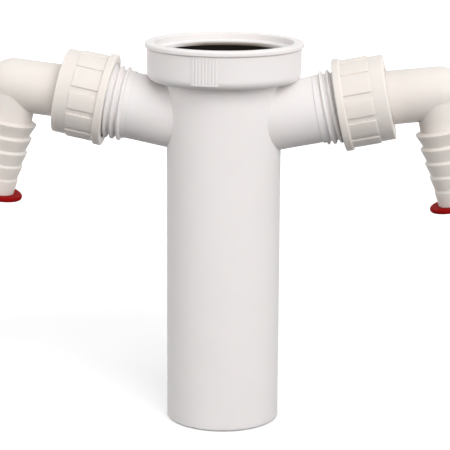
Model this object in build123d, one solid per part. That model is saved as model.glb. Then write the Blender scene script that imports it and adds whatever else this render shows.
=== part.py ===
from build123d import *
from math import radians, tan
import os

# Drain connector for two washing machines, in millimetres. +Z runs up the main tube, the origin is
# the centre of the tube's lower end, and the two branches rise towards +X and -X.

# Main tube, the spigot that a 40 mm waste fitting takes
tube_radius = 20.0
tube_wall = 2.2
tube_end_round = 0.9

# Socket at the top of the tube, with a bead round its mouth
socket_base_height = 122.3
socket_height = 13.5
socket_proud = 6.95
socket_base_round = 3.2
bead_height = 2.2
bead_proud = 0.75
bead_slope = 0.6
rim_width = 3.5
rim_outer_round = 0.6
rim_inner_round = 0.35
mouth_wall_depth = 2.2
mouth_step = 1.3
mouth_step_slope = 0.8
seal_seat_depth = 4.3
seal_seat_height = 5.0
seal_seat_wall = 2.4
pipe_clearance = 0.2

# Lip seal held in the socket
seal_lip_grip = 0.4
seal_lip_land = 1.2
seal_lip_drop = 1.8
seal_lip_thickness = 1.6
seal_ring_thickness = 1.9
seal_clearance = 0.05

# Grip ribs moulded on the front of the socket
rib_count = 8
rib_pitch_angle = 2.45
rib_width = 0.55
rib_proud = 0.25
rib_height = 9.2
rib_root = 1.0
rib_foot_height = 0.5
rib_patch_turn = -8.4

# Threaded branches
branch_drop = 16.1
branch_rise_angle = 11.3
branch_radius = 11.7
branch_wall = 2.1
branch_length = 31.6
thread_radius = 13.0
thread_pitch = 2.4
thread_length = 16.4
thread_crest_width = 0.6
thread_root_width = 2.2
thread_root_sink = 0.35
collar_radius = 12.0
collar_width = 1.6
collar_round = 0.2

# Union nuts
nut_length = 17.6
nut_flange_radius = 16.2
nut_flange_width = 2.75
nut_band_radius = 14.85
nut_band_width = 5.2
nut_end_wall = 2.6
nut_edge_round = 0.5
nut_thread_clearance = 0.3
nut_sleeve_clearance = 0.65
pad_count = 12
pad_angle = 22.0
pad_proud = 0.5
pad_root = 0.8

# Sealing washer between the branch and the elbow's flange
washer_thickness = 2.0
washer_inset = 0.6

# Elbow: flange, arm, domed corner and barbed hose nozzle
elbow_flange_thickness = 2.4
elbow_flange_inset = 0.6
arm_root_depth = 1.4
arm_radius = 9.4
arm_taper = 0.3
arm_wall = 2.2
arm_length = 22.0
arm_droop = 4.6
nozzle_splay = 6.6
nozzle_wall = 1.9
nozzle_length = 38.9
first_barb = 12.8
barb_count = 5
barb_pitch = 5.25
barb_radius = 10.8
barb_shrink = 0.6
barb_step = 1.9
barb_step_fade = 0.62
barb_back = 0.8
tip_radius = 8.0

# Closing plug pushed into the nozzle's tip
plug_flange_radius = 11.2
plug_flange_thickness = 1.6
plug_edge_round = 0.7
plug_stem_length = 9.0
plug_stem_clearance = 0.05
plug_wall = 1.6
plug_lead = 0.6

# Values that follow from the sizes above
socket_top = socket_base_height + socket_height
socket_radius = tube_radius + socket_proud
bead_radius = socket_radius + bead_proud
bead_base = socket_top - bead_height
mouth_radius = bead_radius - rim_width
step_height = socket_top - mouth_wall_depth
throat_radius = mouth_radius - mouth_step
seat_top = socket_top - seal_seat_depth
seat_floor = seat_top - seal_seat_height
seat_radius = socket_radius - seal_seat_wall
pocket_radius = tube_radius + pipe_clearance
pocket_floor = socket_base_height + tube_wall
seal_lip_radius = tube_radius - seal_lip_grip
bore_radius = tube_radius - tube_wall
branch_height = socket_base_height - branch_drop
branch_end = tube_radius + branch_length
branch_bore = branch_radius - branch_wall
thread_core_radius = branch_radius
thread_start = branch_end - thread_length
nut_bore = thread_radius + nut_thread_clearance
elbow_start = branch_end + washer_thickness
elbow_flange_end = elbow_start + elbow_flange_thickness
nut_outer_end = elbow_flange_end + nut_end_wall
nut_inner_end = nut_outer_end - nut_length
arm_bore = arm_radius - arm_wall
corner_radius = arm_radius - arm_length * tan(radians(arm_taper))
nozzle_root_radius = barb_radius - barb_step
nozzle_bore = tip_radius - nozzle_wall
stem_radius = nozzle_bore - plug_stem_clearance
overrun = 1.0


def outline(points, rounds=()):
    """A closed (r, z) outline beside the Z axis, with the listed corners rounded."""
    face = make_face(Polyline(*[(r, 0, z) for r, z in points], close=True))
    for (r, z), radius in rounds:
        corner = face.vertices().sort_by_distance((r, 0, z))[0]
        face = fillet(corner, radius)
    return face


def turned(points, rounds=()):
    """A solid of revolution about Z."""
    return revolve(outline(points, rounds), Axis.Z)


def rod(radius, low, high):
    """A plain cylinder about Z between two heights, as a core or as what a bore takes away."""
    return Pos(0, 0, low) * extrude(Circle(radius), high - low)


def branch_location(side_turn, distance=0.0):
    """The plane across a branch, at a distance from the main axis, on the side that the turn gives."""
    across = Pos(0, 0, branch_height) * Rotation(0, 90 - branch_rise_angle, 0)
    return Rotation(0, 0, side_turn) * across * Pos(0, 0, distance)


def arm_location(side_turn, distance=0.0):
    """The plane across an elbow's arm, at a distance from the flange's seat."""
    return branch_location(side_turn, elbow_start) * Rotation(0, arm_droop, 0) * Pos(0, 0, distance)


def nozzle_location(side_turn, distance=0.0):
    """The plane across a nozzle, at a distance from the elbow's corner and facing its tip."""
    corner = arm_location(side_turn, arm_length)
    return corner * Rotation(0, 90 - nozzle_splay, 0) * Pos(0, 0, distance)


def tube_and_socket():
    """The main tube with its socket, bead and seal seat, as one turned wall."""
    rim_edge = (bead_radius, socket_top)
    socket_corner = (socket_radius, socket_base_height)
    tube_end = (tube_radius, 0)
    mouth_edge = (mouth_radius, socket_top)
    wall = [
        (bore_radius, 0),
        tube_end,
        (tube_radius, socket_base_height),
        socket_corner,
        (socket_radius, bead_base),
        (bead_radius, bead_base + bead_slope),
        rim_edge,
        mouth_edge,
        (mouth_radius, step_height),
        (throat_radius, step_height - mouth_step_slope),
        (throat_radius, seat_top),
        (seat_radius, seat_top),
        (seat_radius, seat_floor),
        (pocket_radius, seat_floor),
        (pocket_radius, pocket_floor),
        (bore_radius, pocket_floor),
    ]
    rounds = [
        (tube_end, tube_end_round),
        (socket_corner, socket_base_round),
        (rim_edge, rim_outer_round),
        (mouth_edge, rim_inner_round),
    ]
    return turned(wall, rounds)


def grip_ribs():
    """The patch of fine upright ribs under the bead, on the front of the socket, and their foot."""
    depth = rib_root + rib_proud
    rib = Box(depth, rib_width, rib_height, align=(Align.MAX, Align.CENTER, Align.MAX))
    rib = Pos(socket_radius + rib_proud, 0, bead_base) * rib
    patch_start = -90 + rib_patch_turn - rib_pitch_angle * (rib_count - 1) / 2
    ribs = [Rotation(0, 0, patch_start + rib_pitch_angle * number) * rib for number in range(rib_count)]
    foot_top = bead_base - rib_height
    foot_section = outline(
        [
            (socket_radius - rib_root, foot_top - rib_foot_height),
            (socket_radius + rib_proud, foot_top - rib_foot_height),
            (socket_radius + rib_proud, foot_top),
            (socket_radius - rib_root, foot_top),
        ]
    )
    foot = revolve(foot_section, Axis.Z, revolution_arc=rib_pitch_angle * rib_count)
    return ribs + [Rotation(0, 0, patch_start - rib_pitch_angle / 2) * foot]


def branch_thread():
    """The helical ridge of the branch's thread, from the run-out collar to the branch's end."""
    turn_length = thread_length + thread_pitch
    helix = Helix(pitch=thread_pitch, height=turn_length, radius=thread_core_radius)
    sunk_radius = thread_core_radius - thread_root_sink
    with BuildSketch(Plane.XZ) as ridge:
        Polygon(
            (sunk_radius, -thread_root_width / 2),
            (thread_radius, -thread_crest_width / 2),
            (thread_radius, thread_crest_width / 2),
            (sunk_radius, thread_root_width / 2),
            align=None,
        )
    thread = Pos(0, 0, thread_start) * sweep(ridge.sketch, path=helix, is_frenet=True)
    return thread - rod(thread_radius + overrun, branch_end, branch_end + 2 * thread_pitch)


def branch(side_turn):
    """One branch: its plain wall, the thread's core, the run-out collar and the thread."""
    collar_start = thread_start - collar_width
    collar_edge = (collar_radius, collar_start)
    wall = turned(
        [
            (0, 0),
            (branch_radius, 0),
            (branch_radius, collar_start),
            collar_edge,
            (collar_radius, thread_start),
            (thread_core_radius, thread_start + thread_pitch / 2),
            (thread_core_radius, branch_end),
            (0, branch_end),
        ],
        [(collar_edge, collar_round)],
    )
    return branch_location(side_turn) * (wall + branch_thread())


def fitting_body():
    """The moulded body: tube, socket and both threaded branches, with their open waterways."""
    body = tube_and_socket()
    for side_turn in (0, 180):
        body += branch(side_turn)
    body -= rod(bore_radius, -overrun, pocket_floor + overrun)
    for side_turn in (0, 180):
        body -= branch_location(side_turn) * rod(branch_bore, 0, branch_end + overrun)
    body += grip_ribs()
    return body


def socket_seal():
    """The rubber ring in the socket's seat, with a lip that wipes the pipe."""
    outer = seat_radius - seal_clearance
    inner = outer - seal_ring_thickness
    top = seat_top - seal_clearance
    lip_top = top - seal_lip_drop
    return turned(
        [
            (outer, seat_floor),
            (outer, top),
            (inner, top),
            (seal_lip_radius, lip_top),
            (seal_lip_radius, lip_top - seal_lip_land),
            (inner, top - seal_lip_thickness),
            (inner, seat_floor),
        ]
    )


def union_nut(side_turn):
    """The nut that draws the elbow's flange onto the branch, with raised pads to grip it by."""
    flange_edge = (nut_flange_radius, nut_inner_end)
    flange_shoulder = (nut_flange_radius, nut_inner_end + nut_flange_width)
    band_edge = (nut_band_radius, nut_outer_end)
    sleeve_radius = arm_radius + nut_sleeve_clearance
    shell = turned(
        [
            (nut_bore, nut_inner_end),
            flange_edge,
            flange_shoulder,
            (nut_band_radius, nut_inner_end + nut_flange_width),
            band_edge,
            (sleeve_radius, nut_outer_end),
            (sleeve_radius, elbow_flange_end),
            (nut_bore, elbow_flange_end),
        ],
        [(flange_edge, nut_edge_round), (flange_shoulder, nut_edge_round), (band_edge, nut_edge_round)],
    )
    pad_start = nut_inner_end + nut_flange_width
    pad_end = nut_outer_end - nut_band_width
    pad_outer = nut_band_radius + pad_proud
    pad_corner = (pad_outer, pad_end)
    pad_section = outline(
        [
            (nut_band_radius - pad_root, pad_start),
            (pad_outer, pad_start),
            pad_corner,
            (nut_band_radius - pad_root, pad_end),
        ],
        [(pad_corner, pad_proud / 2)],
    )
    pad = revolve(pad_section, Axis.Z, revolution_arc=pad_angle)
    for number in range(pad_count):
        shell += Rotation(0, 0, number * 360 / pad_count - pad_angle / 2) * pad
    return branch_location(side_turn) * shell


def sealing_washer(side_turn):
    """The flat rubber washer between the branch's end and the elbow's flange."""
    ring = Circle(nut_bore - washer_inset) - Circle(branch_bore)
    return branch_location(side_turn, branch_end) * extrude(ring, washer_thickness)


def barbed_nozzle():
    """The nozzle's outside, from the elbow's corner to the tip: a plain root, then saw-tooth barbs."""
    points = [(0, 0), (nozzle_root_radius, 0)]
    groove = nozzle_root_radius
    for number in range(barb_count):
        place = first_barb + barb_pitch * number
        crest = barb_radius - barb_shrink * number
        points += [(groove, place - barb_back), (crest, place)]
        groove = crest - barb_shrink - barb_step * barb_step_fade ** (number + 1)
    points += [(tip_radius, nozzle_length), (0, nozzle_length)]
    return turned(points)


def hose_elbow(side_turn):
    """The elbow: a flange held by the nut, a tapered arm, a domed corner and a barbed nozzle."""
    flange_radius = nut_bore - elbow_flange_inset
    flange = rod(flange_radius, 0, elbow_flange_thickness)
    arm = turned(
        [
            (0, arm_root_depth),
            (arm_radius, arm_root_depth),
            (corner_radius, arm_length),
            (0, arm_length),
        ]
    )
    corner = arm_location(side_turn, arm_length)
    elbow = branch_location(side_turn, elbow_start) * flange
    elbow += arm_location(side_turn) * arm
    elbow += corner * Sphere(corner_radius)
    elbow += nozzle_location(side_turn) * barbed_nozzle()
    elbow -= arm_location(side_turn) * rod(arm_bore, -arm_root_depth, arm_length)
    elbow -= corner * Sphere(arm_bore)
    elbow -= nozzle_location(side_turn) * rod(nozzle_bore, 0, nozzle_length + overrun)
    return elbow


def nozzle_plug(side_turn):
    """The closing plug: a rounded flange against the nozzle's tip and a hollow stem in its bore."""
    stem_start = nozzle_length - plug_stem_length
    flange_end = nozzle_length + plug_flange_thickness
    inner_edge = (plug_flange_radius, nozzle_length)
    outer_edge = (plug_flange_radius, flange_end)
    plug = turned(
        [
            (0, stem_start),
            (stem_radius - plug_lead, stem_start),
            (stem_radius, stem_start + plug_lead),
            (stem_radius, nozzle_length),
            inner_edge,
            outer_edge,
            (stem_radius - plug_wall, flange_end),
            (stem_radius - plug_wall, stem_start + plug_wall),
            (0, stem_start + plug_wall),
        ],
        [(inner_edge, plug_edge_round), (outer_edge, plug_edge_round)],
    )
    return nozzle_location(side_turn) * plug


def main():
    """Makes every piece and writes each to its own file."""
    pieces = {"fitting_body": fitting_body(), "socket_seal": socket_seal()}
    for side, side_turn in (("right", 0), ("left", 180)):
        pieces["union_nut_" + side] = union_nut(side_turn)
        pieces["sealing_washer_" + side] = sealing_washer(side_turn)
        pieces["hose_elbow_" + side] = hose_elbow(side_turn)
        pieces["nozzle_plug_" + side] = nozzle_plug(side_turn)
    os.makedirs("parts", exist_ok=True)
    for name, piece in pieces.items():
        piece.label = name
        export_step(piece, os.path.join("parts", name + ".step"))


if __name__ == "__main__":
    main()
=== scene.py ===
"""Twin drain connector for washing machines: finishes, nut threads, studio and camera.

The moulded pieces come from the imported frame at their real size. This script gives each of them
its finish, adds the inner threads of the two union nuts, and sets up a plain light studio.
"""

import logging
import math
from dataclasses import dataclass, field
from enum import Enum

import bmesh
import bpy
from mathutils import Euler, Matrix, Quaternion, Vector


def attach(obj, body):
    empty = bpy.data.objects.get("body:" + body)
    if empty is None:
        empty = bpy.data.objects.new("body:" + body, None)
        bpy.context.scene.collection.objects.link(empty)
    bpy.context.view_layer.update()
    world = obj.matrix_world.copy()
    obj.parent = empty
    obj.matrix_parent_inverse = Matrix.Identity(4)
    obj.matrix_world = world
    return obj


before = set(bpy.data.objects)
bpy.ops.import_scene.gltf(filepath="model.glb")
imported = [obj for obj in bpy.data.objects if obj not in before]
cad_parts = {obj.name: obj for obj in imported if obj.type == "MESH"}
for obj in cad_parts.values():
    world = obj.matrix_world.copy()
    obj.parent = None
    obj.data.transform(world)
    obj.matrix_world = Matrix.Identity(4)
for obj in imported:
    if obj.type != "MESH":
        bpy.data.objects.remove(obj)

logging.basicConfig(level=logging.INFO, format="%(name)s: %(message)s")
log = logging.getLogger("drain_connector")

MM = 0.001
WHITE = (1.0, 1.0, 1.0, 1.0)


class Side(Enum):
    """The two sides of the connector, named as the front view shows them."""

    RIGHT = "right"
    LEFT = "left"

    @property
    def turn(self) -> float:
        """The turn about the main tube's axis, in radians, that faces this side."""
        return 0.0 if self is Side.RIGHT else math.pi


class LampRole(Enum):
    """What a lamp does in the studio."""

    KEY = "key"
    FILL = "fill"
    BACK = "back"


def srgb_to_linear(hex_colour: str) -> tuple[float, float, float, float]:
    """Turns an sRGB hex colour into the linear RGBA that shaders take.

    Args:
        hex_colour: A colour such as "#EDE9E6".

    Returns:
        Linear red, green and blue with an alpha of 1.
    """
    channels = [int(hex_colour[place : place + 2], 16) / 255 for place in (1, 3, 5)]
    linear = [c / 12.92 if c <= 0.04045 else ((c + 0.055) / 1.055) ** 2.4 for c in channels]
    return (linear[0], linear[1], linear[2], 1.0)


def add_node(
    tree: bpy.types.NodeTree,
    kind: str,
    settings: dict[str, object] | None = None,
    inputs: dict[str | int, object] | None = None,
) -> bpy.types.Node:
    """Adds one shader node with its settings, its fixed inputs and its links.

    Args:
        tree: The node tree that the node goes into.
        kind: The node's type name.
        settings: Attributes of the node itself, such as its blend type.
        inputs: A value, or another node's output socket, for each named or numbered input.

    Returns:
        The new node.
    """
    node = tree.nodes.new(kind)
    for name, value in (settings or {}).items():
        setattr(node, name, value)
    for name, value in (inputs or {}).items():
        if isinstance(value, bpy.types.NodeSocket):
            tree.links.new(value, node.inputs[name])
        else:
            node.inputs[name].default_value = value
    return node


def new_tree(material: bpy.types.Material) -> tuple[bpy.types.NodeTree, bpy.types.Node]:
    """Empties a material's node tree and gives it an output.

    Args:
        material: The material to start from.

    Returns:
        The node tree and its output node.
    """
    material.use_nodes = True
    material.node_tree.nodes.clear()
    return material.node_tree, add_node(material.node_tree, "ShaderNodeOutputMaterial")


@dataclass(frozen=True)
class ThroatPaintedShade:
    """Painted shade: a grey laid on the white wall of the throat just above the black rubber seal."""

    colour: str = "#7C7164"
    clear_height_mm: float = 133.1
    full_height_mm: float = 131.9
    lowest_mm: float = 131.2
    reach_mm: float = 24.0
    # the painted shade is strongest at the back of the throat and fades out towards the sides
    side_clear_mm: float = 12.0
    side_full_mm: float = 21.0

    def laid_over(
        self, tree: bpy.types.NodeTree, place: bpy.types.NodeSocket, plastic: bpy.types.NodeSocket
    ) -> bpy.types.NodeSocket:
        """Lays the painted shade over the plastic's colour, inside the socket only.

        Args:
            tree: The node tree that the grey goes into.
            place: Object coordinates.
            plastic: The plastic's own colour.

        Returns:
            The colour with the painted shade on it.
        """
        along = add_node(tree, "ShaderNodeSeparateXYZ", inputs={0: place}).outputs
        low = add_node(
            tree,
            "ShaderNodeMapRange",
            inputs={
                "Value": along["Z"],
                "From Min": self.clear_height_mm * MM,
                "From Max": self.full_height_mm * MM,
            },
        )
        far = add_node(
            tree,
            "ShaderNodeMapRange",
            inputs={
                "Value": along["Y"],
                "From Min": self.side_clear_mm * MM,
                "From Max": self.side_full_mm * MM,
            },
        )
        above = add_node(
            tree, "ShaderNodeMath", {"operation": "GREATER_THAN"}, {0: along["Z"], 1: self.lowest_mm * MM}
        )
        flat = add_node(
            tree, "ShaderNodeVectorMath", {"operation": "MULTIPLY"}, {0: place, 1: (1.0, 1.0, 0.0)}
        )
        radius = add_node(tree, "ShaderNodeVectorMath", {"operation": "LENGTH"}, {0: flat.outputs[0]})
        inside = add_node(
            tree,
            "ShaderNodeMath",
            {"operation": "LESS_THAN"},
            {0: radius.outputs["Value"], 1: self.reach_mm * MM},
        )
        cover = low.outputs["Result"]
        for share in (far.outputs["Result"], above.outputs[0], inside.outputs[0]):
            product = add_node(tree, "ShaderNodeMath", {"operation": "MULTIPLY"}, {0: cover, 1: share})
            cover = product.outputs[0]
        # mixes the painted shade over the plastic's colour
        shaded_surface = add_node(
            tree,
            "ShaderNodeMix",
            {"data_type": "RGBA"},
            {0: cover, 6: plastic, 7: srgb_to_linear(self.colour)},
        )
        return shaded_surface.outputs[2]


@dataclass(frozen=True)
class MouldedPlastic:
    """An injection-moulded thermoplastic: flow mottling in its colour and a fine satin grain."""

    name: str
    colour: str
    flow_colour: str
    roughness: float
    roughness_swing: float
    grain_depth_mm: float
    gloss: float
    # light goes some way into the plastic, red the furthest, which softens ribs, pads and threads
    translucency: float = 0.60
    light_depth_mm: float = 2.0
    light_spread: tuple[float, float, float] = (1.0, 0.9, 0.8)
    ior: float = 1.49
    flow_mm: float = 14.0
    # the real spark-eroded grain is about 0.1 mm and would not show, so it is drawn at 0.7 mm
    grain_mm: float = 0.7
    throat_shade: ThroatPaintedShade | None = None

    def build(self) -> bpy.types.Material:
        """Makes the material.

        Returns:
            The finished material.
        """
        material = bpy.data.materials.new(self.name)
        tree, output = new_tree(material)
        place = add_node(tree, "ShaderNodeTexCoord").outputs["Object"]
        flow = add_node(
            tree,
            "ShaderNodeTexNoise",
            inputs={"Vector": place, "Scale": 1 / (self.flow_mm * MM), "Detail": 2.0, "Roughness": 0.5},
        )
        grain = add_node(
            tree,
            "ShaderNodeTexNoise",
            inputs={"Vector": place, "Scale": 1 / (self.grain_mm * MM), "Detail": 3.0, "Roughness": 0.6},
        )
        colour = add_node(
            tree,
            "ShaderNodeMix",
            {"data_type": "RGBA"},
            {
                0: flow.outputs["Fac"],
                6: srgb_to_linear(self.colour),
                7: srgb_to_linear(self.flow_colour),
            },
        )
        surface = colour.outputs[2]
        # lays painted shade on the throat's wall above the seal
        if self.throat_shade:
            surface = self.throat_shade.laid_over(tree, place, surface)
        roughness = add_node(
            tree,
            "ShaderNodeMapRange",
            inputs={
                "Value": grain.outputs["Fac"],
                "To Min": self.roughness - self.roughness_swing,
                "To Max": self.roughness + self.roughness_swing,
            },
        )
        bump = add_node(
            tree,
            "ShaderNodeBump",
            inputs={"Height": grain.outputs["Fac"], "Distance": self.grain_depth_mm * MM, "Strength": 1.0},
        )
        shader = add_node(
            tree,
            "ShaderNodeBsdfPrincipled",
            inputs={
                "Base Color": surface,
                "Roughness": roughness.outputs["Result"],
                "Normal": bump.outputs["Normal"],
                "IOR": self.ior,
                "Specular IOR Level": self.gloss,
                "Subsurface Weight": self.translucency,
                "Subsurface Radius": self.light_spread,
                "Subsurface Scale": self.light_depth_mm * MM,
            },
        )
        tree.links.new(shader.outputs["BSDF"], output.inputs["Surface"])
        return material


@dataclass(frozen=True)
class SealRubber:
    """Carbon-filled moulded rubber: near black, matt, with a faint bloom on its surface."""

    name: str
    colour: str
    bloom_colour: str
    roughness: float
    gloss: float
    ior: float = 1.52
    bloom_mm: float = 6.0
    # moulded rubber's own texture is about 0.2 mm, and is drawn at 0.9 mm so that it shows
    texture_mm: float = 0.9
    texture_depth_mm: float = 0.03

    def build(self) -> bpy.types.Material:
        """Makes the material.

        Returns:
            The finished material.
        """
        material = bpy.data.materials.new(self.name)
        tree, output = new_tree(material)
        place = add_node(tree, "ShaderNodeTexCoord").outputs["Object"]
        bloom = add_node(
            tree,
            "ShaderNodeTexNoise",
            inputs={"Vector": place, "Scale": 1 / (self.bloom_mm * MM), "Detail": 4.0},
        )
        texture = add_node(
            tree,
            "ShaderNodeTexNoise",
            inputs={"Vector": place, "Scale": 1 / (self.texture_mm * MM), "Detail": 2.0},
        )
        colour = add_node(
            tree,
            "ShaderNodeMix",
            {"data_type": "RGBA"},
            {
                0: bloom.outputs["Fac"],
                6: srgb_to_linear(self.colour),
                7: srgb_to_linear(self.bloom_colour),
            },
        )
        bump = add_node(
            tree,
            "ShaderNodeBump",
            inputs={"Height": texture.outputs["Fac"], "Distance": self.texture_depth_mm * MM},
        )
        shader = add_node(
            tree,
            "ShaderNodeBsdfPrincipled",
            inputs={
                "Base Color": colour.outputs[2],
                "Roughness": self.roughness,
                "Normal": bump.outputs["Normal"],
                "IOR": self.ior,
                "Specular IOR Level": self.gloss,
            },
        )
        tree.links.new(shader.outputs["BSDF"], output.inputs["Surface"])
        return material


@dataclass(frozen=True)
class Finishes:
    """The five finishes of the connector."""

    # Moulded polypropylene off a lightly textured tool: a soft, chalky white with no sharp glint,
    # with painted shade at the back of the throat, which softens the seal's dark edge
    body: MouldedPlastic = MouldedPlastic(
        "moulded_white_polypropylene",
        colour="#EEEAE9",
        flow_colour="#EAE6E5",
        roughness=0.52,
        roughness_swing=0.05,
        grain_depth_mm=0.012,
        gloss=0.18,
        # painted shade at the back of the throat, above the seal
        throat_shade=ThroatPaintedShade(),
    )
    # The same plastic off a polished tool: a little warmer and smoother, so the edges catch light
    fittings: MouldedPlastic = MouldedPlastic(
        "moulded_cream_polypropylene",
        colour="#E7E1DB",
        flow_colour="#E3DCD6",
        roughness=0.42,
        roughness_swing=0.04,
        grain_depth_mm=0.008,
        gloss=0.24,
    )
    # Polyethylene coloured through in deep red: it reads waxy and opaque, with hardly any glint
    plugs: MouldedPlastic = MouldedPlastic(
        "moulded_red_polyethylene",
        colour="#98100F",
        flow_colour="#880B0F",
        roughness=0.55,
        roughness_swing=0.04,
        grain_depth_mm=0.010,
        gloss=0.015,
        translucency=0.0,
        ior=1.51,
        flow_mm=9.0,
    )
    # Rubber of the moulded lip seal: dead matt, so it takes the light out of the socket's mouth
    seal: SealRubber = SealRubber(
        "moulded_black_rubber", colour="#14100F", bloom_colour="#1D1918", roughness=0.95, gloss=0.04
    )
    # The washers' rubber is cut from flat sheet, and looks a touch smoother and lighter
    washers: SealRubber = SealRubber(
        "black_sheet_rubber", colour="#151110", bloom_colour="#201C1B", roughness=0.90, gloss=0.06
    )


class Wardrobe:
    """Builds each finish once and dresses pieces in it."""

    def __init__(self, finishes: Finishes) -> None:
        """Builds every finish.

        Args:
            finishes: The finishes of the connector.
        """
        self.body = finishes.body.build()
        self.fittings = finishes.fittings.build()
        self.plugs = finishes.plugs.build()
        self.seal = finishes.seal.build()
        self.washers = finishes.washers.build()

    def dress(self, piece: bpy.types.Object, material: bpy.types.Material) -> None:
        """Gives a piece one material all over.

        Args:
            piece: The object to dress.
            material: The material it takes.
        """
        piece.data.materials.clear()
        piece.data.materials.append(material)
        log.info("%s dressed in %s", piece.name, material.name)


@dataclass
class BranchAxis:
    """Where a branch runs: it leaves the main axis at a height and rises outwards."""

    height_mm: float = 106.2
    rise_degrees: float = 11.3

    def placed(self, side: Side) -> Matrix:
        """The transform from a frame along the branch's axis to the connector's frame.

        Args:
            side: The side that the branch is on.

        Returns:
            A matrix that takes local +Z, in metres, to outwards along the branch.
        """
        across = Matrix.Rotation(math.radians(90 - self.rise_degrees), 4, "Y")
        lift = Matrix.Translation((0, 0, self.height_mm * MM))
        return Matrix.Rotation(side.turn, 4, "Z") @ lift @ across


@dataclass
class NutThread:
    """The inner thread of a union nut: a helical ridge that runs in the branch's own thread."""

    root_radius_mm: float = 13.45
    tip_radius_mm: float = 12.1
    root_width_mm: float = 1.84
    tip_width_mm: float = 0.5
    pitch_mm: float = 2.4
    start_mm: float = 42.4
    start_degrees: float = 180.0
    turns: float = 3.25
    steps_a_turn: int = 36
    axis: BranchAxis = field(default_factory=BranchAxis)

    def profile(self, shape: bmesh.types.BMesh) -> list[bmesh.types.BMEdge]:
        """Draws the ridge's section as a closed ring of edges at the thread's start.

        Args:
            shape: The mesh that the section goes into.

        Returns:
            The ring's edges.
        """
        section = bmesh.ops.create_circle(shape, cap_ends=False, segments=4, radius=1.0)["verts"]
        corners = [
            (self.root_radius_mm, -self.root_width_mm / 2),
            (self.tip_radius_mm, -self.tip_width_mm / 2),
            (self.tip_radius_mm, self.tip_width_mm / 2),
            (self.root_radius_mm, self.root_width_mm / 2),
        ]
        for vertex, (radius, height) in zip(section, corners):
            vertex.co = Vector((radius, 0.0, self.start_mm + height)) * MM
        turn = Matrix.Rotation(math.radians(self.start_degrees), 3, "Z")
        bmesh.ops.rotate(shape, cent=(0, 0, 0), matrix=turn, verts=section)
        return list(shape.edges)

    def build(self, side: Side) -> bpy.types.Object:
        """Makes the ridge by a screw-like spin and places it in its nut.

        Args:
            side: The side that the nut is on.

        Returns:
            The ridge's object.
        """
        steps = round(self.turns * self.steps_a_turn)
        shape = bmesh.new()
        bmesh.ops.spin(
            shape,
            geom=self.profile(shape),
            cent=(0, 0, 0),
            axis=(0, 0, 1),
            dvec=(0, 0, self.turns * self.pitch_mm * MM / steps),
            angle=self.turns * math.tau,
            steps=steps,
        )
        bmesh.ops.holes_fill(shape, edges=[e for e in shape.edges if e.is_boundary], sides=4)
        bmesh.ops.recalc_face_normals(shape, faces=shape.faces)
        bmesh.ops.transform(shape, matrix=self.axis.placed(side), verts=shape.verts)
        name = f"union_nut_thread_{side.value}"
        mesh = bpy.data.meshes.new(name)
        shape.to_mesh(mesh)
        shape.free()
        for face in mesh.polygons:
            face.use_smooth = True
        thread = bpy.data.objects.new(name, mesh)
        bpy.context.collection.objects.link(thread)
        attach(thread, f"nut_{side.value}")
        log.info("%s built with %d faces", name, len(mesh.polygons))
        return thread


@dataclass
class MainFitting:
    """The moulded body with its tube, socket and branches, and the lip seal in the socket."""

    body_node: str = "fitting_body"
    seal_node: str = "socket_seal"

    def dress(self, wardrobe: Wardrobe) -> None:
        """Finishes the body and its seal.

        Args:
            wardrobe: The built finishes.
        """
        wardrobe.dress(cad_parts[self.body_node], wardrobe.body)
        wardrobe.dress(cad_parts[self.seal_node], wardrobe.seal)


@dataclass
class HoseConnection:
    """What a branch carries: a washer, a union nut with its thread, an elbow and a plug."""

    side: Side
    thread: NutThread = field(default_factory=NutThread)

    def node(self, kind: str) -> bpy.types.Object:
        """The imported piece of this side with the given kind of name."""
        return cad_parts[f"{kind}_{self.side.value}"]

    def build(self, wardrobe: Wardrobe) -> None:
        """Adds the nut's thread and finishes every piece of this side.

        Args:
            wardrobe: The built finishes.
        """
        wardrobe.dress(self.thread.build(self.side), wardrobe.fittings)
        wardrobe.dress(self.node("union_nut"), wardrobe.fittings)
        wardrobe.dress(self.node("hose_elbow"), wardrobe.fittings)
        wardrobe.dress(self.node("sealing_washer"), wardrobe.washers)
        wardrobe.dress(self.node("nozzle_plug"), wardrobe.plugs)


@dataclass
class Lamp:
    """A square soft box that faces the connector."""

    role: LampRole
    place: tuple[float, float, float]
    side_m: float
    watts: float
    aim: tuple[float, float, float] = (0.0, 0.0, 0.085)
    glints: bool = True

    def build(self) -> None:
        """Hangs the lamp in the studio."""
        data = bpy.data.lights.new(f"{self.role.value}_lamp", "AREA")
        data.shape = "SQUARE"
        data.size = self.side_m
        data.energy = self.watts
        lamp = bpy.data.objects.new(data.name, data)
        lamp.location = self.place
        lamp.rotation_mode = "QUATERNION"
        lamp.rotation_quaternion = (Vector(self.aim) - lamp.location).to_track_quat("-Z", "Y")
        lamp.visible_glossy = self.glints
        bpy.context.collection.objects.link(lamp)
        log.info("%s hung", lamp.name)


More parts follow.
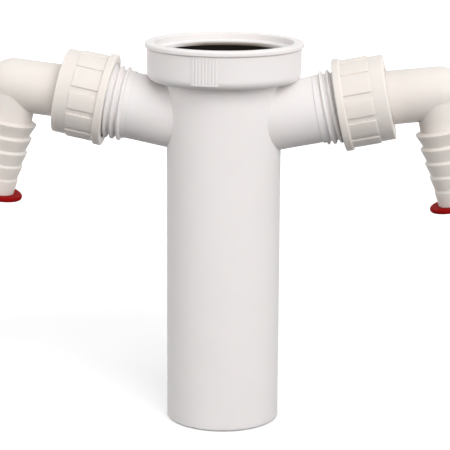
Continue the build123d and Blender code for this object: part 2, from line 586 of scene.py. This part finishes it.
@dataclass
class Studio:
    """A plain white floor and surround under soft lamps."""

    floor_radius_m: float = 6.0
    floor_sides: int = 64
    floor_colour: str = "#E6E6E6"
    # the floor is white to the eye and greyer to the pieces, so it lifts their undersides little
    bounce_colour: str = "#5E5E5E"
    # a faint glow keeps the floor white, less of it near the connector, where its shadow falls
    near_glow: float = 0.31
    far_glow: float = 0.75
    near_glow_m: float = 0.12
    far_glow_m: float = 1.3
    surround_strength: float = 0.55
    lamps: tuple[Lamp, ...] = (
        Lamp(LampRole.KEY, (0.74, -1.16, 0.86), side_m=1.3, watts=22.0),
        Lamp(LampRole.FILL, (-1.47, -0.54, 0.42), side_m=0.9, watts=7.0),
        # without glints, because its reflection would veil the red plugs and the rim's top
        Lamp(LampRole.BACK, (-0.35, 1.50, 0.22), side_m=1.2, watts=13.0, glints=False),
    )

    def seen(self, tree: bpy.types.NodeTree) -> bpy.types.NodeSocket:
        """Tells rays of the camera, glossy and transmission rays from those that light the pieces.

        Args:
            tree: The node tree that asks.

        Returns:
            A socket that is 1 for a ray that shows the background and 0 for one that lights.
        """
        path = add_node(tree, "ShaderNodeLightPath").outputs
        seen = path["Is Camera Ray"]
        for ray in ("Is Glossy Ray", "Is Transmission Ray"):
            either = add_node(tree, "ShaderNodeMath", {"operation": "MAXIMUM"}, {0: seen, 1: path[ray]})
            seen = either.outputs[0]
        return seen

    def floor_material(self) -> bpy.types.Material:
        """Makes the floor's matt paper, which keeps the connector's shadow.

        Returns:
            The floor's material.
        """
        material = bpy.data.materials.new("matt_paper_floor")
        tree, output = new_tree(material)
        shown = add_node(tree, "ShaderNodeBsdfDiffuse", inputs={"Color": srgb_to_linear(self.floor_colour)})
        place = add_node(tree, "ShaderNodeTexCoord").outputs["Object"]
        distance = add_node(tree, "ShaderNodeVectorMath", {"operation": "LENGTH"}, {0: place})
        strength = add_node(
            tree,
            "ShaderNodeMapRange",
            inputs={
                "Value": distance.outputs["Value"],
                "From Min": self.near_glow_m,
                "From Max": self.far_glow_m,
                "To Min": self.near_glow,
                "To Max": self.far_glow,
            },
        )
        glow = add_node(tree, "ShaderNodeEmission", inputs={"Strength": strength.outputs["Result"]})
        lit = add_node(tree, "ShaderNodeAddShader", inputs={0: shown.outputs[0], 1: glow.outputs[0]})
        bounce = add_node(tree, "ShaderNodeBsdfDiffuse", inputs={"Color": srgb_to_linear(self.bounce_colour)})
        both = add_node(
            tree,
            "ShaderNodeMixShader",
            inputs={0: self.seen(tree), 1: bounce.outputs[0], 2: lit.outputs[0]},
        )
        tree.links.new(both.outputs[0], output.inputs["Surface"])
        return material

    def floor(self) -> None:
        """Lays the floor under the connector."""
        shape = bmesh.new()
        bmesh.ops.create_circle(shape, cap_ends=True, segments=self.floor_sides, radius=self.floor_radius_m)
        mesh = bpy.data.meshes.new("studio_floor")
        shape.to_mesh(mesh)
        shape.free()
        mesh.materials.append(self.floor_material())
        floor = bpy.data.objects.new("studio_floor", mesh)
        bpy.context.collection.objects.link(floor)
        log.info("%s laid", floor.name)

    def surround(self) -> None:
        """Makes the world: white to the eye, a soft even light to the pieces."""
        world = bpy.data.worlds.new("soft_surround")
        bpy.context.scene.world = world
        world.use_nodes = True
        tree = world.node_tree
        tree.nodes.clear()
        output = add_node(tree, "ShaderNodeOutputWorld")
        white = add_node(tree, "ShaderNodeBackground", inputs={"Color": WHITE, "Strength": 1.0})
        light = add_node(
            tree,
            "ShaderNodeBackground",
            inputs={"Color": WHITE, "Strength": self.surround_strength},
        )
        both = add_node(
            tree,
            "ShaderNodeMixShader",
            inputs={0: self.seen(tree), 1: light.outputs[0], 2: white.outputs[0]},
        )
        tree.links.new(both.outputs[0], output.inputs["Surface"])

    def build(self) -> None:
        """Sets up the floor, the surround and the lamps."""
        self.floor()
        self.surround()
        for lamp in self.lamps:
            lamp.build()
        bpy.context.scene.view_settings.view_transform = "Standard"


@dataclass
class StudioCamera:
    """The camera in front of the connector, a little above it and a little to its right."""

    place: tuple[float, float, float] = (0.061791, -0.615000, 0.215942)
    pitch_degrees: float = 13.25
    yaw_degrees: float = 5.68
    roll_degrees: float = 0.32
    lens_mm: float = 143.2
    sensor_mm: float = 36.0

    def build(self) -> None:
        """Places the camera and makes it the scene's own."""
        data = bpy.data.cameras.new("studio_camera")
        data.lens = self.lens_mm
        data.sensor_width = self.sensor_mm
        camera = bpy.data.objects.new(data.name, data)
        camera.location = self.place
        camera.rotation_mode = "QUATERNION"
        tilt = Euler((math.radians(90 - self.pitch_degrees), 0.0, math.radians(self.yaw_degrees)))
        roll = Quaternion((0.0, 0.0, 1.0), math.radians(self.roll_degrees))
        camera.rotation_quaternion = tilt.to_quaternion() @ roll
        bpy.context.collection.objects.link(camera)
        bpy.context.scene.camera = camera
        log.info("%s placed", camera.name)


def main() -> None:
    """Builds the studio and dresses the connector, piece by piece."""
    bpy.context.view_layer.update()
    StudioCamera().build()
    Studio().build()
    wardrobe = Wardrobe(Finishes())
    MainFitting().dress(wardrobe)
    for side in Side:
        HoseConnection(side).build(wardrobe)
    log.info("connector finished")


if __name__ == "__main__":
    main()
